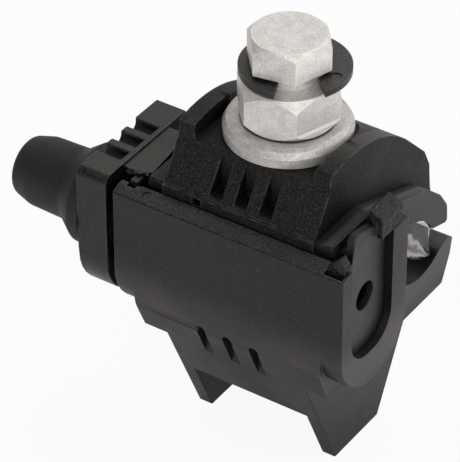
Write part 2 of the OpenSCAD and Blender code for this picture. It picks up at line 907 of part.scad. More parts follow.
module tap_end_cap() {
  nose_r = cap_r - edge_r / 3;
  nose_l = 4.5;
  nose_in = 1.75;
  tip_round = 1.2;
  flare_l = 2.2;
  cone_l = 3.6;
  cone_round = 3;
  inner = cap_d / 2;
  inner_round = 2;
  foot = -cover_out + rest_gap;
  tip = -cover_out + cap_l;
  floor_x = tip - 2 * cap_wall;
  seat = -cover_in + flange_t;
  color(rubber)
    translate([0, cap_y, cap_z])
      rotate([0, -90, 0])
        rotate_extrude()
          polygon(rounded([
            [inner, -cover_in, 0],
            [flange_r, -cover_in, 0],
            [flange_r, seat, 0],
            [cap_r, seat, 0],
            [cap_r, foot, 0],
            [flare_d / 2, foot, 0],
            [flare_d / 2, foot + flare_l, edge_r],
            [cap_r, foot + flare_l + cone_l, cone_round],
            [nose_r, tip - nose_l, cone_round],
            [nose_r - nose_in, tip, tip_round],
            [0, tip + fit, 0],
            [0, floor_x, 0],
            [inner - cap_wall, floor_x, edge_r],
            [inner - edge_r, floor_x - inner_round, 0]
          ]));
}

lower_housing();
upper_housing();
shear_bolt();
spanner_stop_ring();
washer();
captive_nut();
upper_contact_left();
upper_contact_right();
lower_contact_left();
lower_contact_right();
upper_main_seal();
lower_main_seal();
upper_tap_seal();
lower_tap_seal();
grease_film();
entry_seal_right();
entry_seal_left();
end_cover();
tap_end_cap();
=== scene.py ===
# %% [markdown]
# # An insulation piercing connector, dressed for its portrait
# The connector is two black moulded jaws that one galvanised bolt draws together over a main
# line and a branch line. The solids come from the CAD frame, in metres and in their final place.
# This lesson rounds their edges, gives each material its own surface, and adds the small soft
# and rough things that a solid modeller leaves out.

# %% Load the frame
import json
import math

import bmesh
import bpy
from mathutils import Matrix, Vector, noise


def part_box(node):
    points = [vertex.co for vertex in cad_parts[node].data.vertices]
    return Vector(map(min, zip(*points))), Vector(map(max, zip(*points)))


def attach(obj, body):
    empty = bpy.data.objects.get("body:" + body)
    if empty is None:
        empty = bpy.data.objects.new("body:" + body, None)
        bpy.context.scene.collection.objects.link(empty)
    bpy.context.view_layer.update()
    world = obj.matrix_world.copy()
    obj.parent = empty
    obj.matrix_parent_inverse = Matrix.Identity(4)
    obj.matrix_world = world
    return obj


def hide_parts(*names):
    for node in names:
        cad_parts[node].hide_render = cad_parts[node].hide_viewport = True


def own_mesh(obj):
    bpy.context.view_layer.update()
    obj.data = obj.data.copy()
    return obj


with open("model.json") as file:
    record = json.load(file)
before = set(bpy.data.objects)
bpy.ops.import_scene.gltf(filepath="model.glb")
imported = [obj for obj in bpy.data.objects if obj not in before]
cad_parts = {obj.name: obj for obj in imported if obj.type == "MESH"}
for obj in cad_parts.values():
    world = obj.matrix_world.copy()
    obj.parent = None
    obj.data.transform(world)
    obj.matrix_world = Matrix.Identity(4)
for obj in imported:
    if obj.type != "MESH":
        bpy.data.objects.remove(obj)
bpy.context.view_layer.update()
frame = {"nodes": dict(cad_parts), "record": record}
MM = 0.001
BODY_OF = {
    node: body
    for body, nodes in frame["record"]["behaviour"]["bodies"].items()
    for node in nodes
}

# %% [markdown]
# ## The camera
# The photograph was taken with a long lens from the front right, well above the part. A camera
# could be set by eye, but one fitted to the edges of the housings gave angle, distance and lens
# at once, so the camera is placed on a sphere round one target point.

# %% Camera
CAMERA_AZIMUTH = math.radians(33.76)
CAMERA_ELEVATION = math.radians(37.01)
CAMERA_TARGET = Vector((-11.6, 0, 34.5)) * MM
CAMERA_DISTANCE = 587.6 * MM
CAMERA_LENS = 267.6

to_camera = Vector((
    math.sin(CAMERA_AZIMUTH) * math.cos(CAMERA_ELEVATION),
    -math.cos(CAMERA_AZIMUTH) * math.cos(CAMERA_ELEVATION),
    math.sin(CAMERA_ELEVATION),
))
camera_data = bpy.data.cameras.new("studio_camera")
camera_data.lens = CAMERA_LENS
camera_data.sensor_width = 36
camera_data.clip_start = 0.01
camera_data.clip_end = 50
camera = bpy.data.objects.new("studio_camera", camera_data)
bpy.context.collection.objects.link(camera)
camera.location = CAMERA_TARGET + to_camera * CAMERA_DISTANCE
camera.rotation_euler = (-to_camera).to_track_quat("-Z", "Y").to_euler()
bpy.context.scene.camera = camera
print("camera at", [round(c, 4) for c in camera.location])

# %% [markdown]
# ## Nodes without clutter
# Every finish below is a small graph of shader nodes. Written out in full, a graph hides what it
# does behind dozens of links. A few helpers make a node, set its values and link its inputs, so
# that a material reads like a recipe: a source that is a socket is linked, and anything else is
# set as a plain value.

# %% Helpers that make nodes
def feed(tree, node, values):
    """Link or set the inputs of a node."""
    for name, value in values.items():
        socket = node.inputs[name]
        if isinstance(value, bpy.types.NodeSocket):
            tree.links.new(value, socket)
        else:
            socket.default_value = value


def put(tree, kind, values=None, **settings):
    """Add a node, with settings on the node and values or links on its inputs."""
    node = tree.nodes.new(kind)
    for name, value in settings.items():
        setattr(node, name, value)
    feed(tree, node, values or {})
    return node


def new_group(name, inputs, outputs):
    """A shader node group with float inputs and float outputs."""
    tree = bpy.data.node_groups.new(name, "ShaderNodeTree")
    for socket, value in inputs.items():
        made = tree.interface.new_socket(socket, in_out="INPUT", socket_type="NodeSocketFloat")
        made.default_value = value
    for socket in outputs:
        tree.interface.new_socket(socket, in_out="OUTPUT", socket_type="NodeSocketFloat")
    given, result = tree.nodes.new("NodeGroupInput"), tree.nodes.new("NodeGroupOutput")
    return tree, given.outputs, result


def use_group(tree, group, values):
    """Place a group in a material with its own values, and give its outputs."""
    return put(tree, "ShaderNodeGroup", values, node_tree=group).outputs


print("node helpers ready")

# %% Helpers for masks and colours
def math_node(tree, operation, first, second=0.0):
    """One step of arithmetic on masks."""
    return put(tree, "ShaderNodeMath", {0: first, 1: second}, operation=operation).outputs[0]


def times(tree, first, second):
    """The product of two masks."""
    return math_node(tree, "MULTIPLY", first, second)


def ramp(tree, source, low, high):
    """Map low..high of a mask to 0..1, with soft ends."""
    return put(
        tree, "ShaderNodeMapRange", {0: source, 1: low, 2: high}, interpolation_type="SMOOTHSTEP"
    ).outputs[0]


def stretch(tree, source, start, end, low=0.0, high=1.0):
    """Map low..high of a mask to start..end in a straight line."""
    values = {0: source, 1: low, 2: high, 3: start, 4: end}
    return put(tree, "ShaderNodeMapRange", values).outputs[0]


def mix_colour(tree, factor, first, second):
    """Blend two colours by a mask."""
    node = put(tree, "ShaderNodeMix", {0: factor, 6: first, 7: second}, data_type="RGBA")
    return node.outputs[2]


print("mask helpers ready")

# %% Helpers for places and directions
def object_place(tree):
    """Where a point is on its piece."""
    return tree.nodes.new("ShaderNodeTexCoord").outputs["Object"]


def surface_normal(tree):
    """Where a point of the surface looks."""
    return tree.nodes.new("ShaderNodeNewGeometry").outputs["Normal"]


def axes_of(tree, vector):
    """The X, Y and Z of a vector."""
    split = put(tree, "ShaderNodeSeparateXYZ", {0: vector})
    return split.outputs["X"], split.outputs["Y"], split.outputs["Z"]


def vector_step(tree, operation, first, second=(0, 0, 0)):
    """One step of vector arithmetic; a dot product and a length give a mask."""
    node = put(tree, "ShaderNodeVectorMath", {0: first, 1: second}, operation=operation)
    return node.outputs["Value" if operation in ("DOT_PRODUCT", "LENGTH") else "Vector"]


def clouds(tree, scale, detail, roughness=0.5):
    """Noise that sticks to the piece."""
    return put(tree, "ShaderNodeTexNoise", {
        "Vector": object_place(tree), "Scale": scale, "Detail": detail, "Roughness": roughness,
    }).outputs[0]


def bumped(tree, height, distance, strength=1.0):
    """A normal that follows a height; distance is in metres."""
    values = {"Height": height, "Strength": strength, "Distance": distance}
    return put(tree, "ShaderNodeBump", values).outputs[0]


print("place helpers ready")

# %% [markdown]
# ## Glass-filled grain
# The jaws are moulded in black plastic with chopped glass in it. Close up the skin looks sandy,
# and here and there a fleck catches the light. Real grains as geometry would be far too many, so
# one noise gives the height of the skin and the sand, and a finer one gives the flecks, of which
# only the peaks are kept.

# %% Grain group
def build_grain():
    tree, given, result = new_group(
        "moulded_grain",
        {"Scale": 3000.0, "Fleck Low": 0.66, "Fleck High": 0.76},
        ["Height", "Sand", "Fleck"],
    )
    skin = clouds(tree, given["Scale"], 4.0)
    fleck = clouds(tree, times(tree, given["Scale"], 1.6), 1.0)
    feed(tree, result, {
        "Height": skin,
        "Sand": ramp(tree, skin, 0.43, 0.62),
        "Fleck": ramp(tree, fleck, given["Fleck Low"], given["Fleck High"]),
    })
    return tree


GRAIN = build_grain()
print("group:", GRAIN.name)

# %% [markdown]
# ## Handling marks
# A part that has been in a box and in hands is never evenly black: broad smudges change its
# gloss, and a little pale dust lies in patches. Painted marks would need a picture. Broad, soft
# noises do as well and fit every piece.

# %% Handling group
def build_handling():
    tree, given, result = new_group("handling_marks", {"Scale": 90.0}, ["Smudge", "Dust"])
    smudge = ramp(tree, clouds(tree, given["Scale"], 5.0), 0.32, 0.7)
    specks = clouds(tree, times(tree, given["Scale"], 9.0), 6.0, 0.7)
    dust = ramp(tree, specks, 0.55, 0.8)
    feed(tree, result, {"Smudge": smudge, "Dust": times(tree, dust, smudge)})
    return tree


HANDLING = build_handling()
print("group:", HANDLING.name)

# %% [markdown]
# ## Rubbed edges
# Plastic and zinc are polished a little paler along their edges. Edges could be marked by hand,
# but Cycles can compare the true surface with one whose corners are rounded: where the two
# normals differ, there is an edge. A noise breaks the line so that the wear is uneven.

# %% Edge group
def build_edge():
    tree, given, result = new_group("rubbed_edges", {"Radius": 0.0004, "Break": 700.0}, ["Rub"])
    rounded = put(tree, "ShaderNodeBevel", {"Radius": given["Radius"]}, samples=6).outputs[0]
    alike = vector_step(tree, "DOT_PRODUCT", rounded, surface_normal(tree))
    edge = stretch(tree, alike, 0.0, 1.0, 0.995, 0.9)
    gaps = ramp(tree, clouds(tree, given["Break"], 3.0), 0.35, 0.6)
    feed(tree, result, {"Rub": times(tree, edge, gaps)})
    return tree


EDGE = build_edge()
print("group:", EDGE.name)

# %% [markdown]
# ## Painted shade in crevices
# Grooves, pockets and the trough of a black moulding lie in shade, darker than its open faces.
# Ambient occlusion measures how much of the sky a point sees within a few millimetres, and a soft
# range turns that into a mask that paints this shade into the colour. It finds every hollow by
# itself, which painting by place wouldn't.

# %% Painted crevice shade group
def build_crevice_shade():
    tree, given, result = new_group("crevices", {"Reach": 0.004}, ["Depth"])
    openness = put(
        tree, "ShaderNodeAmbientOcclusion", {"Distance": given["Reach"]},
        samples=8, only_local=False,
    ).outputs["AO"]
    feed(tree, result, {"Depth": ramp(tree, openness, 0.88, 0.42)})
    return tree


CREVICE_SHADE = build_crevice_shade()
print("group:", CREVICE_SHADE.name)

# %% [markdown]
# ## Where light and shade are painted
# The black isn't lit the same all over. A paler band low on the lower jaw's front is a painted
# reflection of the bright floor, broken by the smudges, and the lower jaw's trough is painted near
# black as shade. The crown of the arch wall and the end of the hook are painted paler than the
# sandy slope as highlights. Each is a mask of place and direction, so no part of the mesh has to be
# cut for it.

# %% Painted light and shade by place
BAND_TOP = (0.038, 0.029)
BAND_FOOT = (0.0215, 0.0265)
# paler tone of the reflection painted low on the front
BAND_REFLECTION_TONE = (0.056, 0.053, 0.0515, 1)
ARCH_X, HOOK_END_X, SOFT_STEP = 0.0118, 0.0164, 0.0002
# paler tones of highlights painted on the arch crown and the hook end
CROWN_HIGHLIGHT_TONE = (0.06, 0.058, 0.056, 1)
HOOK_END_LIGHT_TONE = (0.036, 0.035, 0.034, 1)
TROUGH_AXIS = (0, 0.015, 0.0371)
TROUGH_EDGE = (0.00975, 0.0096)
# near-black of the shade painted into the trough
TROUGH_SHADE_TONE = (0.0012, 0.0011, 0.001, 1)


def low_band_reflection(tree, tone, facing, smudge):
    """A painted reflection in a band low on the front, broken by the smudges."""
    height = axes_of(tree, object_place(tree))[2]
    band = times(tree, ramp(tree, height, *BAND_TOP), ramp(tree, height, *BAND_FOOT))
    level = times(tree, band, ramp(tree, facing[2], -0.35, -0.1))
    return mix_colour(tree, times(tree, level, stretch(tree, smudge, 0.45, 1.0)), tone, BAND_REFLECTION_TONE)


def lit_ends(tree, tone, facing, _smudge):
    """Painted highlights on the crown of the arch wall and on the end of the hook."""
    along_x = axes_of(tree, object_place(tree))[0]
    beyond = ramp(tree, along_x, ARCH_X - SOFT_STEP, ARCH_X + SOFT_STEP)
    behind = times(tree, ramp(tree, facing[2], 0.3, 0.7), ramp(tree, facing[1], -0.2, 0.25))
    crowned = mix_colour(tree, times(tree, beyond, behind), tone, CROWN_HIGHLIGHT_TONE)
    outside = ramp(tree, along_x, HOOK_END_X - SOFT_STEP, HOOK_END_X + SOFT_STEP)
    end = times(tree, outside, ramp(tree, facing[0], 0.8, 0.97))
    return mix_colour(tree, end, crowned, HOOK_END_LIGHT_TONE)


def shaded_trough(tree, tone):
    """Painted shade in the trough of the lower jaw."""
    off_axis = vector_step(tree, "SUBTRACT", object_place(tree), TROUGH_AXIS)
    radius = vector_step(tree, "LENGTH", vector_step(tree, "MULTIPLY", off_axis, (0, 1, 1)))
    return mix_colour(tree, ramp(tree, radius, *TROUGH_EDGE), tone, TROUGH_SHADE_TONE)


print("places with their own tone:", 4)

# %% [markdown]
# ## Black plastic
# One recipe serves both jaws, the end cover and the stop ring. It is nearly black, and most of its
# greys come from reflections of the pale studio, as on the real part; painted shade darkens its
# hollows, and on the jaws light and shade are painted by place. Four separate materials would
# drift apart, so what differs is an argument: the upper jaw is grainier and duller than the lower
# one, and the cover and the ring are smooth.

# %% Plastic recipe
FLECK_TONE = (0.15, 0.15, 0.155, 1)
RUBBED_TONE = (0.1, 0.098, 0.094, 1)
# near-black of the shade painted into crevices, and how much of it is painted
HOLLOW_SHADE_TONE = (0.002, 0.0019, 0.0018, 1)
DUST_SHARE, HOLLOW_SHADE_SHARE = 0.7, 0.85
DEEPER, PALER = 0.3, 4.2


def new_material(name):
    """A material with a bare Principled shader."""
    material = bpy.data.materials.new(name)
    material.use_nodes = True
    tree = material.node_tree
    tree.nodes.clear()
    shader = tree.nodes.new("ShaderNodeBsdfPrincipled")
    put(tree, "ShaderNodeOutputMaterial", {0: shader.outputs[0]})
    return material, tree, shader


def scaled(colour, share):
    """A colour made deeper or paler."""
    return [share * c for c in colour[:3]] + [1]


def black_plastic(
    name, colour, gloss, grain, sand, fleck, wear, shine, reach=0.004, painted_light=None, trough_shade=None
):
    """Moulded plastic; gloss is its roughness, grain its bump and reach how far the painted shade
    in its crevices looks, in metres.
    """
    material, tree, shader = new_material(name)
    marks = use_group(tree, HANDLING, {"Scale": 90.0})
    skin = use_group(tree, GRAIN, {"Scale": 3000.0})
    edge = use_group(tree, EDGE, {"Radius": 0.00045})
    hollow_shade = use_group(tree, CREVICE_SHADE, {"Reach": reach})
    facing = axes_of(tree, surface_normal(tree))
    deep, pale = scaled(colour, DEEPER), scaled(colour, PALER)
    lain = stretch(tree, facing[2], sand, min(1.0, sand + 0.5), 0.2, 0.95)
    settled = times(tree, lain, stretch(tree, math_node(tree, "ABSOLUTE", facing[0]), 1.0, 0.3))
    tone = mix_colour(tree, times(tree, skin["Sand"], settled), deep, pale)
    tone = mix_colour(tree, times(tree, marks["Dust"], DUST_SHARE), tone, pale)
    # painted light by place: a reflection or highlights
    if painted_light:
        tone = painted_light(tree, tone, facing, marks["Smudge"])
    tone = mix_colour(tree, times(tree, skin["Fleck"], fleck), tone, FLECK_TONE)
    tone = mix_colour(tree, times(tree, edge["Rub"], wear), tone, RUBBED_TONE)
    # painted shade: hollows darkened towards near-black by ambient occlusion
    tone = mix_colour(tree, times(tree, hollow_shade["Depth"], HOLLOW_SHADE_SHARE), tone, HOLLOW_SHADE_TONE)
    # painted shade in the trough of the lower jaw
    if trough_shade:
        tone = trough_shade(tree, tone)
    feed(tree, shader, {
        "Base Color": tone,
        "Roughness": stretch(tree, marks["Smudge"], gloss - 0.06, gloss + 0.06),
        "Normal": bumped(tree, skin["Height"], grain),
        "Specular IOR Level": shine,
    })
    return material


print("plastic recipe ready")

# %% Plastic finishes
PLASTIC_LOWER = black_plastic(
    "plastic_lower_jaw", (0.0062, 0.0057, 0.0056), gloss=0.40, grain=0.00006, sand=0.4, fleck=0.45,
    wear=0.4, shine=0.38, reach=0.011, painted_light=low_band_reflection, trough_shade=shaded_trough,
)
PLASTIC_UPPER = black_plastic(
    "plastic_upper_jaw", (0.0048, 0.0043, 0.0045), gloss=0.50, grain=0.00012, sand=0.8, fleck=0.6,
    wear=0.6, shine=0.24, painted_light=lit_ends,
)
PLASTIC_COVER = black_plastic(
    "plastic_end_cover", (0.0088, 0.0084, 0.0072), gloss=0.38, grain=0.00004, sand=0.3, fleck=0.12,
    wear=0.5, shine=0.42,
)
PLASTIC_RING = black_plastic(
    "plastic_stop_ring", (0.0125, 0.0120, 0.0118), gloss=0.38, grain=0.00003, sand=0.15, fleck=0.04,
    wear=0.3, shine=0.5,
)
print("plastic finishes:", 4)

# %% [markdown]
# ## Rubber
# The cap, the entry seals and the linings are rubber: a little browner and duller than the
# plastic, with scuffs instead of flecks. The plastic's recipe could serve with other numbers, but
# rubber has no rubbed edges and no settled sand, so its own is shorter. The torn parts of the
# seal are rougher and have more specks.

# %% Rubber finishes
SCUFF_PALER = 3.6
SPECK_TONE = (0.12, 0.115, 0.11, 1)
# near-black of the shade painted into the rubber's crevices
RUBBER_HOLLOW_SHADE_TONE = (0.0015, 0.0014, 0.0013, 1)
SEAL_COLOUR = (0.0095, 0.0090, 0.0088)


def black_rubber(name, colour, gloss, shine=0.5, fleck=0.35, relief=0.00005):
    """Rubber; gloss is its roughness, relief its bump in metres."""
    material, tree, shader = new_material(name)
    marks = use_group(tree, HANDLING, {"Scale": 140.0})
    skin = use_group(tree, GRAIN, {"Scale": 2200.0, "Fleck Low": 0.68, "Fleck High": 0.76})
    hollow_shade = use_group(tree, CREVICE_SHADE, {"Reach": 0.005})
    tone = mix_colour(tree, marks["Dust"], scaled(colour, 1.0), scaled(colour, SCUFF_PALER))
    tone = mix_colour(tree, times(tree, skin["Fleck"], fleck), tone, SPECK_TONE)
    # painted shade: hollows darkened towards near-black by ambient occlusion
    tone = mix_colour(tree, hollow_shade["Depth"], tone, RUBBER_HOLLOW_SHADE_TONE)
    feed(tree, shader, {
        "Base Color": tone,
        "Roughness": stretch(tree, marks["Smudge"], gloss - 0.09, gloss + 0.06),
        "Normal": bumped(tree, skin["Height"], relief),
        "Specular IOR Level": shine,
    })
    return material


RUBBER_CAP = black_rubber("rubber_cap", (0.0088, 0.0082, 0.0074), 0.6, shine=0.4)
RUBBER_SEAL = black_rubber("rubber_seal", SEAL_COLOUR, 0.44)
RUBBER_TORN = black_rubber("rubber_torn", SEAL_COLOUR, 0.48, shine=0.4, fleck=0.9, relief=0.0003)
print("rubber finishes:", 3)

# %% [markdown]
# ## Galvanised steel
# Hot-dip zinc is pale, soft-shining and blotchy, with small pits. A broad and a fine noise mixed
# give the blotches, a third one the pits. All three are in one group, because the bolt, the nut,
# the washer and the tinned contacts share them.

# %% Zinc group
def build_mottle():
    tree, given, result = new_group("zinc_mottle", {"Scale": 600.0}, ["Blotch", "Pit", "Height"])
    broad = clouds(tree, given["Scale"], 2.0)
    fine = clouds(tree, times(tree, given["Scale"], 6.0), 3.0, 0.7)
    spots = clouds(tree, times(tree, given["Scale"], 3.1), 4.0)
    cloud, grain = ramp(tree, broad, 0.3, 0.7), ramp(tree, fine, 0.36, 0.64)
    feed(tree, result, {
        "Blotch": put(tree, "ShaderNodeMix", {0: 0.62, 2: cloud, 3: grain}).outputs[0],
        "Pit": ramp(tree, spots, 0.6, 0.72),
        "Height": math_node(tree, "ADD", broad, times(tree, fine, 0.5)),
    })
    return tree


MOTTLE = build_mottle()
print("group:", MOTTLE.name)

# %% [markdown]
# ## Painted shade and highlight on the bolt
# A dark line of painted shade lies where the lower hexagon stands on the washer, with a ring of it
# on the washer, and a bright line low on one facet is a painted highlight. Both follow heights and
# directions of the solid, so they are masks that are measured from the washer's top.

# %% Where zinc is painted dark or bright
WASHER_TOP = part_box("washer")[1][2] / MM
# the facet that gets a painted highlight
HIGHLIGHT_FACET = (0.82, -0.57, 0)
HEXAGON_EDGE = (0.0084, 0.0079)


def above_washer(tree, low, full_low, full_high, high):
    """A band of heights over the washer, in millimetres: none, full, full, none."""
    height = axes_of(tree, object_place(tree))[2]
    rising = ramp(tree, height, (WASHER_TOP + low) * MM, (WASHER_TOP + full_low) * MM)
    falling = ramp(tree, height, (WASHER_TOP + high) * MM, (WASHER_TOP + full_high) * MM)
    return times(tree, rising, falling)


def shade_under_head(tree):
    """A line of painted shade at the foot of the lower hexagon."""
    return above_washer(tree, -0.3, 0.05, 0.2, 0.5)


def shade_round_head(tree):
    """A ring of painted shade on the washer, where the hexagon stands."""
    flat = vector_step(tree, "MULTIPLY", object_place(tree), (1, 1, 0))
    return times(tree, ramp(tree, vector_step(tree, "LENGTH", flat), *HEXAGON_EDGE), 0.9)


def painted_highlight_line(tree):
    """A painted highlight in a line low on one facet of the lower hexagon."""
    facet = vector_step(tree, "DOT_PRODUCT", surface_normal(tree), HIGHLIGHT_FACET)
    return times(tree, above_washer(tree, 1.25, 1.35, 1.95, 2.05), ramp(tree, facet, 0.85, 0.95))


print("washer top at mm:", round(WASHER_TOP, 2))

# %% Metal finishes
PIT_DEEPER = 0.45
# dark tone of the shade painted where parts meet
CONTACT_SHADE_TONE = (0.07, 0.066, 0.062, 1)
EDGE_TONE = (0.95, 0.945, 0.93, 1)
# white of a painted highlight
HIGHLIGHT_TONE = (1.0, 1.0, 1.0, 1)


def zinc(name, light, dark, gloss, relief, pits=0.4, contact_shade=None, highlight=None):
    """Galvanised steel; the first optional mask paints shade dark where parts meet, the second
    paints a highlight bright.
    """
    material, tree, shader = new_material(name)
    mottle = use_group(tree, MOTTLE, {"Scale": 600.0})
    edge = use_group(tree, EDGE, {"Radius": 0.0006, "Break": 500.0})
    tone = mix_colour(tree, mottle["Blotch"], dark, light)
    tone = mix_colour(tree, times(tree, mottle["Pit"], pits), tone, scaled(dark, PIT_DEEPER))
    # painted contact shade
    if contact_shade:
        tone = mix_colour(tree, contact_shade(tree), tone, CONTACT_SHADE_TONE)
    tone = mix_colour(tree, times(tree, edge["Rub"], 0.8), tone, EDGE_TONE)
    # painted highlight
    if highlight:
        tone = mix_colour(tree, highlight(tree), tone, HIGHLIGHT_TONE)
    feed(tree, shader, {
        "Base Color": tone,
        "Metallic": 0.4,
        "Roughness": stretch(tree, mottle["Blotch"], gloss + 0.1, gloss - 0.06),
        "Normal": bumped(tree, mottle["Height"], relief),
    })
    return material


ZINC_BOLT = zinc(
    "zinc_bolt", (0.8, 0.79, 0.77, 1), (0.56, 0.552, 0.537, 1), gloss=0.36, relief=0.0001,
    pits=0.3, contact_shade=shade_under_head, highlight=painted_highlight_line,
)
ZINC_WASHER = zinc(
    "zinc_washer", (0.66, 0.652, 0.64, 1), (0.4, 0.394, 0.385, 1), gloss=0.45, relief=0.00014,
    pits=0.55, contact_shade=shade_round_head,
)
TINNED = zinc(
    "tinned_contact", (0.66, 0.65, 0.62, 1), (0.52, 0.51, 0.48, 1), gloss=0.3, relief=0.00004
)
print("metal finishes:", 3)

# %% [markdown]
# ## Greasy film
# The film is clear but smeared with grease: pale streaks, part milky grease and part painted
# highlight along the folds, run together at its tip, and between them it lets the dark groove show
# through.
# Glass with real refraction would be slow and too clean for a smear, so a mask of the angle round
# the tip mixes two greys and two opacities.

# %% Film finish
FILM_TIP = Vector((19.3, 29.1))
STREAKS, WOBBLE = 8.0, 2.5
FINE_STREAKS, FINE_SHARE = 2.7, 0.6
# the pale streak tone is milky grease and painted highlight together
BARE_TONE, MILK_AND_SHEEN_TONE = (0.05, 0.05, 0.057, 1), (0.42, 0.41, 0.445, 1)
BARE_VEIL, MILK_AND_SHEEN_VEIL = 0.6, 0.92


def greasy_film():
    material, tree, shader = new_material("greasy_film")
    _, y, z = axes_of(tree, object_place(tree))
    back = math_node(tree, "SUBTRACT", y, FILM_TIP.x * MM)
    up = math_node(tree, "SUBTRACT", z, (FILM_TIP.y - 0.4) * MM)
    turn = times(tree, math_node(tree, "ARCTAN2", up, back), STREAKS)
    bent = math_node(tree, "ADD", turn, times(tree, clouds(tree, 420.0, 2.0), WOBBLE))
    fine = math_node(tree, "SINE", times(tree, bent, FINE_STREAKS))
    wave = math_node(tree, "ADD", math_node(tree, "SINE", bent), times(tree, fine, FINE_SHARE))
    milk_and_sheen = ramp(tree, wave, -0.2, 1.5)
    feed(tree, shader, {
        "Base Color": mix_colour(tree, milk_and_sheen, BARE_TONE, MILK_AND_SHEEN_TONE),
        "Alpha": stretch(tree, milk_and_sheen, BARE_VEIL, MILK_AND_SHEEN_VEIL),
        "Roughness": 0.3,
        "Specular IOR Level": 0.5,
        "Normal": bumped(tree, wave, 0.0002, 0.2),
    })
    return material


GREASY_FILM = greasy_film()
print("film finish:", GREASY_FILM.name)

# %% [markdown]
# ## Softer edges
# A moulded or forged edge is never knife sharp, and it is the thin bright line along an edge
# that tells the eye so. Rounding every edge of the solids would burden the CAD. Instead a copy of
# each solid is merged, its flat triangles are joined, and its long sharp edges are bevelled. The
# copy stands for the solid, which stays in the CAD.

# %% Helpers for softened copies
def copied(node):
    """A bmesh of a CAD node, merged and with its flat faces joined."""
    made = bmesh.new()
    made.from_mesh(frame["nodes"][node].data)
    bmesh.ops.remove_doubles(made, verts=made.verts, dist=2e-6)
    bmesh.ops.dissolve_limit(
        made, angle_limit=math.radians(0.4), verts=made.verts, edges=made.edges
    )
    return made


def bevelled(made, edges, width, segments=2, clamp=True):
    """Round the given edges of a bmesh."""
    bmesh.ops.bevel(
        made, geom=edges, offset=width, offset_type="OFFSET", segments=segments, profile=0.5,
        affect="EDGES", clamp_overlap=clamp, material=-1, loop_slide=True,
    )


def soften(made, width, turn=32, shortest=1.2):
    """Round the long sharp edges of a bmesh; edges that end in a crowd of short ones stay."""
    sharp = [
        e for e in made.edges
        if len(e.link_faces) == 2 and e.calc_face_angle(0) > math.radians(turn)
    ]
    crowded = {v for e in sharp if e.calc_length() < shortest * MM for v in e.verts}
    long = [
        e for e in sharp
        if e.calc_length() >= shortest * MM and not crowded.intersection(e.verts)
    ]
    bevelled(made, long, width, clamp=False)
    return len(long)


print("softening helpers ready")

# %% Helpers for finished pieces
def finished(made, name, body, material, smooth=30):
    """Turn a bmesh into a piece that rides on a body and takes a material."""
    mesh = bpy.data.meshes.new(name)
    made.to_mesh(mesh)
    made.free()
    mesh.shade_smooth()
    mesh.set_sharp_from_angle(angle=math.radians(smooth))
    mesh.materials.append(material)
    piece = bpy.data.objects.new(name, mesh)
    bpy.context.collection.objects.link(piece)
    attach(piece, body)
    return piece


def softened(node, name, material, width, detail=None):
    """A piece that stands for a node, with its own detail and its long sharp edges rounded."""
    made = copied(node)
    if detail:
        detail(made)
    rounded = soften(made, width)
    piece = finished(made, name, BODY_OF[node], material)
    weighted = piece.modifiers.new("weighted_normals", "WEIGHTED_NORMAL")
    weighted.keep_sharp = True
    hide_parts(node)
    print(name, "edges rounded:", rounded, "faces:", len(piece.data.polygons))
    return piece


print("piece helpers ready")

# %% [markdown]
# ## Jaws, cover, ring, left seal and nut
# These keep the shapes of their solids, so each is one call with bevels of 0.15 to 0.3 mm, as
# small moulded radii are. Two of them have a detail of their own. The lip at the foot of the
# upper jaw's slope reaches further forward. The cover's ridges have round noses, and the front
# edge of its tongue is torn, so that edge is cut fine and pushed by a noise.

# %% Details of the upper jaw and the cover
LIP_REACH = 0.6
FAR = 1000.0
RIDGE_NOSE_X, RIDGE_FRONT, RIDGE_BACK = -29.9, -15.2, -1.2
TEAR_LOW, TEAR_HIGH = (-24.0, -FAR, 51.1), (FAR, -12.5, 51.8)


def edges_within(made, low, high):
    """Edges of a bmesh that lie inside a box, in millimetres."""
    return [
        e for e in made.edges
        if all(low[i] * MM < v.co[i] < high[i] * MM for v in e.verts for i in range(3))
    ]


def lip_forward(upper):
    """Draw the lip at the foot of the slope forward."""
    front = min(v.co.y for v in upper.verts) + 0.05 * MM
    lip = [f for f in upper.faces if f.normal.y < -0.99 and all(v.co.y < front for v in f.verts)]
    drawn = bmesh.ops.extrude_face_region(upper, geom=lip)["geom"]
    moved = [g for g in drawn if isinstance(g, bmesh.types.BMVert)]
    bmesh.ops.translate(upper, verts=moved, vec=(0, -LIP_REACH * MM, 0))
    print("lip faces:", len(lip))


def ridges_and_tongue(cover):
    """Round the noses of the ridges, and tear the front edge of the tongue."""
    top = max(v.co.z for v in cover.verts) / MM
    noses = edges_within(
        cover,
        (RIDGE_NOSE_X - 0.02, RIDGE_FRONT, top - 1.95),
        (RIDGE_NOSE_X + 0.02, RIDGE_BACK, FAR),
    )
    rims = [
        e for e in edges_within(cover, (-FAR, RIDGE_FRONT, top - 0.02), (-25.0, RIDGE_BACK, FAR))
        if e not in noses and e.is_manifold
    ]
    bevelled(cover, noses + rims, 0.4 * MM, 3)
    torn = [e for e in edges_within(cover, TEAR_LOW, TEAR_HIGH) if e.calc_length() > 2 * MM]
    cuts = bmesh.ops.subdivide_edges(cover, edges=torn, cuts=11, use_grid_fill=True)["geom_inner"]
    for vert in {g for g in cuts if isinstance(g, bmesh.types.BMVert)}:
        vert.co.y += 0.45 * MM * noise.noise(vert.co * 1300)
        vert.co.z += 0.1 * MM * (noise.noise(vert.co * 900) - 0.5)
    print("ridge edges:", len(noses), len(rims), "torn edges:", len(torn))


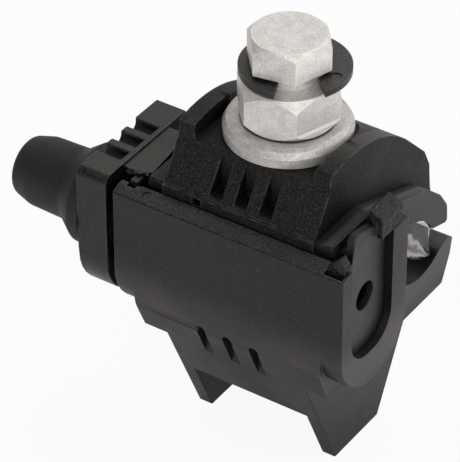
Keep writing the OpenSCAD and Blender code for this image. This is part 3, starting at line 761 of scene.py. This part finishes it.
# %% Softened pieces
softened("lower_housing", "lower_jaw_moulding", PLASTIC_LOWER, 0.22 * MM)
softened("upper_housing", "upper_jaw_moulding", PLASTIC_UPPER, 0.2 * MM, lip_forward)
softened("end_cover", "end_cover_moulding", PLASTIC_COVER, 0.22 * MM, ridges_and_tongue)
softened("spanner_stop_ring", "stop_ring", PLASTIC_RING, 0.15 * MM)
softened("entry_seal_left", "left_entry_seal", RUBBER_SEAL, 0.15 * MM)
softened("captive_nut", "nut", ZINC_BOLT, 0.3 * MM)

# %% [markdown]
# ## Turned pieces
# The washer, the cap and the thread are round on the real part. Cylinders with bevels would do
# for simple ones, but a chain of points in a half plane, radius and height, shows the whole
# profile at a glance. A chain gets its soft corners first, each replaced by a short curve, and is
# then swept round the axis.

# %% Helpers for spinning
def fillet(corners, steps=5):
    """Round an open chain of (r, z, radius) corners, in millimetres."""
    chain = [Vector(corners[0][:2])]
    for before, corner, after in zip(corners, corners[1:], corners[2:]):
        here = Vector(corner[:2])
        back = (Vector(before[:2]) - here).normalized()
        ahead = (Vector(after[:2]) - here).normalized()
        reach = corner[2] / math.tan(back.angle(ahead) / 2)
        start, end = here + back * reach, here + ahead * reach
        for i in range(steps + 1):
            t = i / steps
            chain.append(start * (1 - t) ** 2 + here * 2 * t * (1 - t) + end * t ** 2)
    chain.append(Vector(corners[-1][:2]))
    return chain


def chain_of(made, points):
    """Vertices and edges of a chain in the XZ half plane, in metres."""
    verts = [made.verts.new((r * MM, 0, z * MM)) for r, z in points]
    return verts + [made.edges.new(pair) for pair in zip(verts, verts[1:])]


def lathe(points, steps=96):
    """Spin a chain once round the Z axis."""
    made = bmesh.new()
    bmesh.ops.spin(
        made, geom=chain_of(made, points), cent=(0, 0, 0), axis=(0, 0, 1),
        angle=2 * math.pi, steps=steps, use_merge=True,
    )
    bmesh.ops.remove_doubles(made, verts=made.verts, dist=1e-6)
    bmesh.ops.recalc_face_normals(made, faces=made.faces)
    return made


print("spinning helpers ready")

# %% Washer
SEAT_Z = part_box("washer")[0][2] / MM
washer_shape = lathe(fillet([
    (4.4, WASHER_TOP, 0),
    (4.4, SEAT_Z, 0.2),
    (10.9, SEAT_Z, 0.3),
    (11.0, SEAT_Z + 1.9, 0.4),
    (10.4, WASHER_TOP - 0.35, 0.3),
    (9.5, WASHER_TOP, 0.3),
    (4.4, WASHER_TOP, 0),
]), steps=128)
washer = finished(washer_shape, "thick_washer", BODY_OF["washer"], ZINC_WASHER, 50)
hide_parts("washer")
print("washer faces:", len(washer.data.polygons))

# %% Rubber cap
CAP_LOW, CAP_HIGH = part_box("tap_end_cap")
CAP_Y = (CAP_LOW[1] + CAP_HIGH[1]) / 2
CAP_Z = (CAP_LOW[2] + CAP_HIGH[2]) / 2
CAP_MOUTH, CAP_TIP = -CAP_HIGH[0] / MM, -CAP_LOW[0] / MM
cap_shape = lathe(fillet([
    (5.2, CAP_MOUTH, 0),
    (7.65, CAP_MOUTH, 0.15),
    (7.65, CAP_MOUTH + 1.4, 0.15),
    (6.45, CAP_MOUTH + 1.4, 0.1),
    (6.45, CAP_MOUTH + 6.05, 0.1),
    (9.1, CAP_MOUTH + 6.05, 0.3),
    (9.1, CAP_MOUTH + 8.2, 0.9),
    (6.5, CAP_MOUTH + 11.8, 2.6),
    (6.3, CAP_TIP - 4.4, 3.2),
    (5.3, CAP_TIP - 0.9, 1.6),
    (3.2, CAP_TIP, 1.5),
    (0, CAP_TIP, 0),
], steps=8) + fillet([
    (0, CAP_TIP - 2.6, 0),
    (3.9, CAP_TIP - 2.6, 0.8),
    (4.6, CAP_TIP - 4.6, 0.5),
    (5.2, CAP_MOUTH, 0),
]), steps=128)
laid_down = Matrix.Rotation(math.radians(-90), 4, "Y")
bmesh.ops.transform(cap_shape, matrix=laid_down, verts=cap_shape.verts)
bmesh.ops.translate(cap_shape, vec=(0, CAP_Y, CAP_Z), verts=cap_shape.verts)
cap = finished(cap_shape, "rubber_end_cap", BODY_OF["tap_end_cap"], RUBBER_CAP, 45)
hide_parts("tap_end_cap")
print("cap faces:", len(cap.data.polygons))

# %% [markdown]
# ## The bolt
# The bolt's two heads come from the solid, cut free just under the lower one. The shank gets a
# real right-hand thread, which shows when the jaws open. Rings would be simpler but don't climb,
# so one tooth profile is swept round and up by one pitch a turn. A radius limit at each end turns
# the first threads down to the chamfer and lets the last ones run out.

# %% Bolt heads
def all_of(made):
    """Every vertex, edge and face of a bmesh."""
    return made.verts[:] + made.edges[:] + made.faces[:]


BOLT_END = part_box("shear_bolt")[0][2] / MM
HEAD_Z = WASHER_TOP + 0.05
heads = copied("shear_bolt")
bmesh.ops.bisect_plane(
    heads, geom=all_of(heads), dist=1e-7,
    plane_co=(0, 0, (HEAD_Z - 0.1) * MM), plane_no=(0, 0, 1), clear_inner=True,
)
head_edges = soften(heads, 0.25 * MM, turn=20, shortest=1.0)
print("bolt head edges rounded:", head_edges)

# %% Thread
PITCH = 1.25
CREST, ROOT, END_RADIUS = 3.95, 3.4, 3.2
RUN_OUT = 0.35
TURN_STEPS = 32
THREAD_TOP = BOLT_END + 30.0
bolt_shape = bmesh.new()
tooth = [(ROOT, 0), (CREST, 0.5), (CREST, 0.62), (ROOT, 1.12), (ROOT, PITCH)]
turns = math.ceil((THREAD_TOP - BOLT_END) / PITCH) + 3
bmesh.ops.spin(
    bolt_shape, geom=chain_of(bolt_shape, [(r, z + BOLT_END - 2 * PITCH) for r, z in tooth]),
    cent=(0, 0, 0), axis=(0, 0, 1), dvec=(0, 0, PITCH * MM / TURN_STEPS),
    angle=2 * math.pi * turns, steps=TURN_STEPS * turns,
)
bmesh.ops.remove_doubles(bolt_shape, verts=bolt_shape.verts, dist=2e-6)
for height, side in ((BOLT_END, "clear_inner"), (THREAD_TOP, "clear_outer")):
    bmesh.ops.bisect_plane(
        bolt_shape, geom=all_of(bolt_shape), dist=1e-7,
        plane_co=(0, 0, height * MM), plane_no=(0, 0, 1), **{side: True},
    )
for vert in bolt_shape.verts:
    radius, height = vert.co.xy.length / MM, vert.co.z / MM
    most = END_RADIUS + (height - BOLT_END)
    least = CREST - RUN_OUT * (THREAD_TOP - height)
    vert.co.xy *= max(min(radius, most), least) / radius
print("thread turns:", turns, "vertices:", len(bolt_shape.verts))

# %% Bolt in one piece
open_edges = [e for e in bolt_shape.edges if e.is_boundary]
top_edges = [e for e in open_edges if min(v.co.z for v in e.verts) > (THREAD_TOP - 0.1) * MM]
end_edges = [e for e in open_edges if max(v.co.z for v in e.verts) < (BOLT_END + 0.1) * MM]
bmesh.ops.holes_fill(bolt_shape, edges=end_edges)
shank = bmesh.ops.extrude_edge_only(bolt_shape, edges=top_edges)["geom"]
for vert in (v for v in shank if isinstance(v, bmesh.types.BMVert)):
    vert.co.z = (HEAD_Z + 0.3) * MM
head_mesh = bpy.data.meshes.new("bolt_heads")
heads.to_mesh(head_mesh)
heads.free()
bolt_shape.from_mesh(head_mesh)
bmesh.ops.recalc_face_normals(bolt_shape, faces=bolt_shape.faces)
bolt = finished(bolt_shape, "shear_head_bolt", BODY_OF["shear_bolt"], ZINC_BOLT, 28)
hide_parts("shear_bolt")
print("bolt faces:", len(bolt.data.polygons))

# %% [markdown]
# ## The rough entry seal
# The seal at the open end has a torn-looking head and corner. A sculpted mesh would look right
# once and couldn't be repeated. Its copy is cut into small triangles instead, the raised parts
# are smoothed so that they lose their corners, and noises of three sizes then push them in and
# out a little.

# %% Rough seal
HEAD_LOW, HEAD_FRONT = 0.0512, -0.0069
CORNER_LOW, CORNER_REAR = 0.0494, -0.0149
LUMPS = ((800, 0.22), (2100, 0.16), (4300, 0.1))
LONGEST_EDGE = 0.4 * MM


def cut_small(made, longest):
    """Halve the long edges of a bmesh until none is longer than asked."""
    bmesh.ops.triangulate(made, faces=made.faces)
    for _ in range(7):
        long = [e for e in made.edges if e.calc_length() > longest]
        if not long:
            break
        bmesh.ops.subdivide_edges(made, edges=long, cuts=1)
        bmesh.ops.triangulate(made, faces=made.faces)


def is_torn(place):
    """Whether a point belongs to the seal's head or to its corner."""
    on_head = place.z > HEAD_LOW and place.y > HEAD_FRONT
    on_corner = place.z > CORNER_LOW and place.y < CORNER_REAR
    return on_head or on_corner


seal_shape = copied("entry_seal_right")
cut_small(seal_shape, LONGEST_EDGE)
raised = [v for v in seal_shape.verts if is_torn(v.co)]
for _ in range(2):
    bmesh.ops.smooth_vert(
        seal_shape, verts=raised, factor=0.5, use_axis_x=True, use_axis_y=True, use_axis_z=True
    )
seal_shape.normal_update()
for vert in raised:
    lump = sum(noise.noise(vert.co * scale) * height for scale, height in LUMPS)
    vert.co += vert.normal * lump * MM
rough_seal = finished(
    seal_shape, "right_entry_seal", BODY_OF["entry_seal_right"], RUBBER_SEAL, 40
)
rough_seal.data.materials.append(RUBBER_TORN)
for face in rough_seal.data.polygons:
    face.material_index = int(is_torn(face.center))
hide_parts("entry_seal_right")
print("rough seal faces:", len(rough_seal.data.polygons), "raised vertices:", len(raised))

# %% [markdown]
# ## The crumpled film
# A clear film with contact grease hangs from the crown of the upper groove. A cloth simulation
# would drape it, but the torn outline and the folds that run together at one tip are what the eye
# knows it by. So it starts as a flat grid: its upper edge is bent along the groove, its lower
# edge follows the torn outline, and folds round the tip push it back and forth.

# %% Outline of the film
FILM_X = 16.75
HANG = [
    (0.0, (9.9, 40.5)), (0.22, (11.4, 40.8)), (0.4, (13.0, 40.0)),
    (0.6, (15.6, 38.5)), (0.82, (18.6, 36.8)), (1.0, (20.5, 35.9)),
]
TORN = [
    (0.0, (10.7, 34.6)), (0.22, (12.9, 32.3)), (0.46, (16.0, 30.2)), (0.66, FILM_TIP[:]),
    (0.78, (18.6, 31.6)), (0.88, (18.8, 33.8)), (1.0, (20.3, 35.5)),
]


def along(path, u):
    """Point of a chain whose corners each have their own u."""
    for (u0, p0), (u1, p1) in zip(path, path[1:]):
        if u <= u1:
            return Vector(p0).lerp(Vector(p1), (u - u0) / (u1 - u0))


print("film corners:", len(HANG), len(TORN))

# %% Film
FOLD_HEIGHT, FOLD_COUNT, FOLD_REACH = 0.32, 8, 7
BULGE_HEIGHT, WRINKLE_HEIGHT = 0.55, 0.12
film_shape = bmesh.new()
bmesh.ops.create_grid(film_shape, x_segments=72, y_segments=48, size=0.5)
for vert in film_shape.verts:
    u, v = min(max(vert.co.x + 0.5, 0), 1), 0.5 - vert.co.y
    place = along(HANG, u).lerp(along(TORN, u), v)
    from_tip = place - FILM_TIP
    spread = math.atan2(from_tip.y, from_tip.x + 0.001)
    near = from_tip.length / (1.2 + from_tip.length)
    fading = math.exp(-from_tip.length / FOLD_REACH)
    folds = FOLD_HEIGHT * near * fading * math.sin(FOLD_COUNT * spread)
    bulge = BULGE_HEIGHT * math.sin(math.pi * v) * math.sin(math.pi * min(1, u * 1.3))
    small = WRINKLE_HEIGHT * noise.noise(Vector((7 * u, 5 * v, 2.7)))
    vert.co = Vector((FILM_X + folds + bulge + small, place.x, place.y)) * MM
bmesh.ops.smooth_vert(film_shape, verts=film_shape.verts, factor=0.5, use_axis_x=True)
film_area = sum(face.calc_area() for face in film_shape.faces)
film = finished(film_shape, "crumpled_film", BODY_OF["grease_film"], GREASY_FILM, 180)
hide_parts("grease_film")
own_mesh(film)
print("film faces:", len(film.data.polygons), "area mm2:", round(film_area * 1e6, 1))

# %% [markdown]
# ## The solids that stay
# The contacts and the linings are hidden inside, where softened copies would be lost, so they
# stay as the CAD made them. They only get a material, by the kind of piece their name tells.

# %% Materials for the solids that stay
def dress(node, material):
    """Give a CAD node that stays its material."""
    mesh = frame["nodes"][node].data
    mesh.materials.clear()
    mesh.materials.append(material)


for node in BODY_OF:
    if "contact" in node:
        dress(node, TINNED)
    if node.endswith(("main_seal", "tap_seal")):
        dress(node, RUBBER_SEAL)
print("inner solids dressed")

# %% [markdown]
# ## The studio floor
# The piece stands on white paper. Paper bright enough to be white would need so much light that
# the zinc burns out. So most of what the camera sees of it is plain white, reflections see a
# small share of that white, and the rest is real paper, which takes the shadow. From below it is
# clear, so that the underside can be looked at.

# %% Studio floor
PAPER_COLOUR = (0.86, 0.86, 0.86, 1)
PLAIN_WHITE = (1, 1, 1, 1)
FLOOR_RADIUS, FLOOR_DROP = 6.0, 0.02


def white_share(tree, straight, mirrored):
    """How much plain white a ray gets: straight ones to the camera, and mirrored ones."""
    path = put(tree, "ShaderNodeLightPath").outputs
    seen = math_node(tree, "MAXIMUM", path["Is Camera Ray"], path["Is Transmission Ray"])
    reflected = times(tree, path["Is Glossy Ray"], mirrored)
    return math_node(tree, "MAXIMUM", times(tree, seen, straight), reflected)


def mix_shaders(tree, factor, first, second):
    """Blend two shaders by a mask."""
    values = {0: factor, 1: first.outputs[0], 2: second.outputs[0]}
    return put(tree, "ShaderNodeMixShader", values)


floor_mesh = bpy.data.meshes.new("studio_floor")
floor_shape = bmesh.new()
bmesh.ops.create_circle(floor_shape, cap_ends=True, segments=64, radius=FLOOR_RADIUS)
floor_shape.to_mesh(floor_mesh)
floor_shape.free()
floor = bpy.data.objects.new("studio_floor", floor_mesh)
bpy.context.collection.objects.link(floor)
floor.location.z = -FLOOR_DROP * MM
floor_material = bpy.data.materials.new("pale_paper")
floor_material.use_nodes = True
paper = floor_material.node_tree
paper.nodes.clear()
paper_diffuse = put(paper, "ShaderNodeBsdfDiffuse", {"Color": PAPER_COLOUR})
paper_white = put(paper, "ShaderNodeEmission", {"Color": PLAIN_WHITE, "Strength": 1.0})
paper_share = white_share(paper, straight=0.92, mirrored=0.12)
paper_lit = mix_shaders(paper, paper_share, paper_diffuse, paper_white)
from_below = put(paper, "ShaderNodeNewGeometry").outputs["Backfacing"]
paper_seen = mix_shaders(paper, from_below, paper_lit, put(paper, "ShaderNodeBsdfTransparent"))
put(paper, "ShaderNodeOutputMaterial", {0: paper_seen.outputs[0]})
floor.data.materials.append(floor_material)
print("floor:", floor.name)

# %% [markdown]
# ## The studio light
# Soft white cards stand round the piece in the directions that a fit to the photograph's tones
# gave, the strongest at the front right, and two softboxes help from above and from the left.
# Cards could be planes, but as patches of the world they can't get in the camera's way. The
# camera itself sees a plain white room.

# %% Room and cards
LIGHT_COLOUR = (1.0, 0.968, 0.94)
ROOM_STRENGTH = 0.1
CARD_EDGE, CARD_FULL = 0.45, 0.98
CARDS = (
    ((1, -1, 0.35), 1.95),
    ((1, 1, 0.35), 1.1),
    ((-1, 1, 0.35), 0.32),
    ((-1, 1, 1.55), 0.22),
)
world = bpy.data.worlds.new("studio")
bpy.context.scene.world = world
world.use_nodes = True
sky = world.node_tree
sky.nodes.clear()
sky_direction = sky.nodes.new("ShaderNodeTexCoord").outputs["Generated"]
sky_strength = ROOM_STRENGTH
for direction, brightness in CARDS:
    aim = Vector(direction).normalized()
    near = vector_step(sky, "DOT_PRODUCT", sky_direction, aim[:])
    patch_of_light = times(sky, ramp(sky, near, CARD_EDGE, CARD_FULL), brightness)
    sky_strength = math_node(sky, "ADD", patch_of_light, sky_strength)
sky_light = put(
    sky, "ShaderNodeBackground", {"Color": (*LIGHT_COLOUR, 1), "Strength": sky_strength}
)
sky_white = put(sky, "ShaderNodeBackground", {"Color": PLAIN_WHITE, "Strength": 1.0})
sky_share = white_share(sky, straight=1.0, mirrored=0.08)
sky_seen = mix_shaders(sky, sky_share, sky_light, sky_white)
put(sky, "ShaderNodeOutputWorld", {0: sky_seen.outputs[0]})
print("cards:", len(CARDS))

# %% Softboxes
LIT_POINT = Vector((0, 0, 0.03))


def softbox(name, place, size, radiance):
    """A square lamp that looks at the piece; radiance is its brightness as seen."""
    data = bpy.data.lights.new(name, "AREA")
    data.shape = "SQUARE"
    data.size = size
    data.color = LIGHT_COLOUR
    data.energy = radiance * math.pi * size * size
    lamp = bpy.data.objects.new(name, data)
    bpy.context.collection.objects.link(lamp)
    lamp.location = place
    lamp.rotation_euler = (LIT_POINT - Vector(place)).to_track_quat("-Z", "Y").to_euler()


softbox("top_softbox", (-0.1, 0.35, 0.8), 0.7, 1.2)
softbox("left_softbox", (-0.7, -0.45, 0.6), 0.45, 0.15)
bpy.context.scene.view_settings.view_transform = "Standard"
print("studio ready")

# %% [markdown]
# ## The end
# The last line brings the scene up to date and hands it over.

# %% The end
bpy.context.view_layer.update()
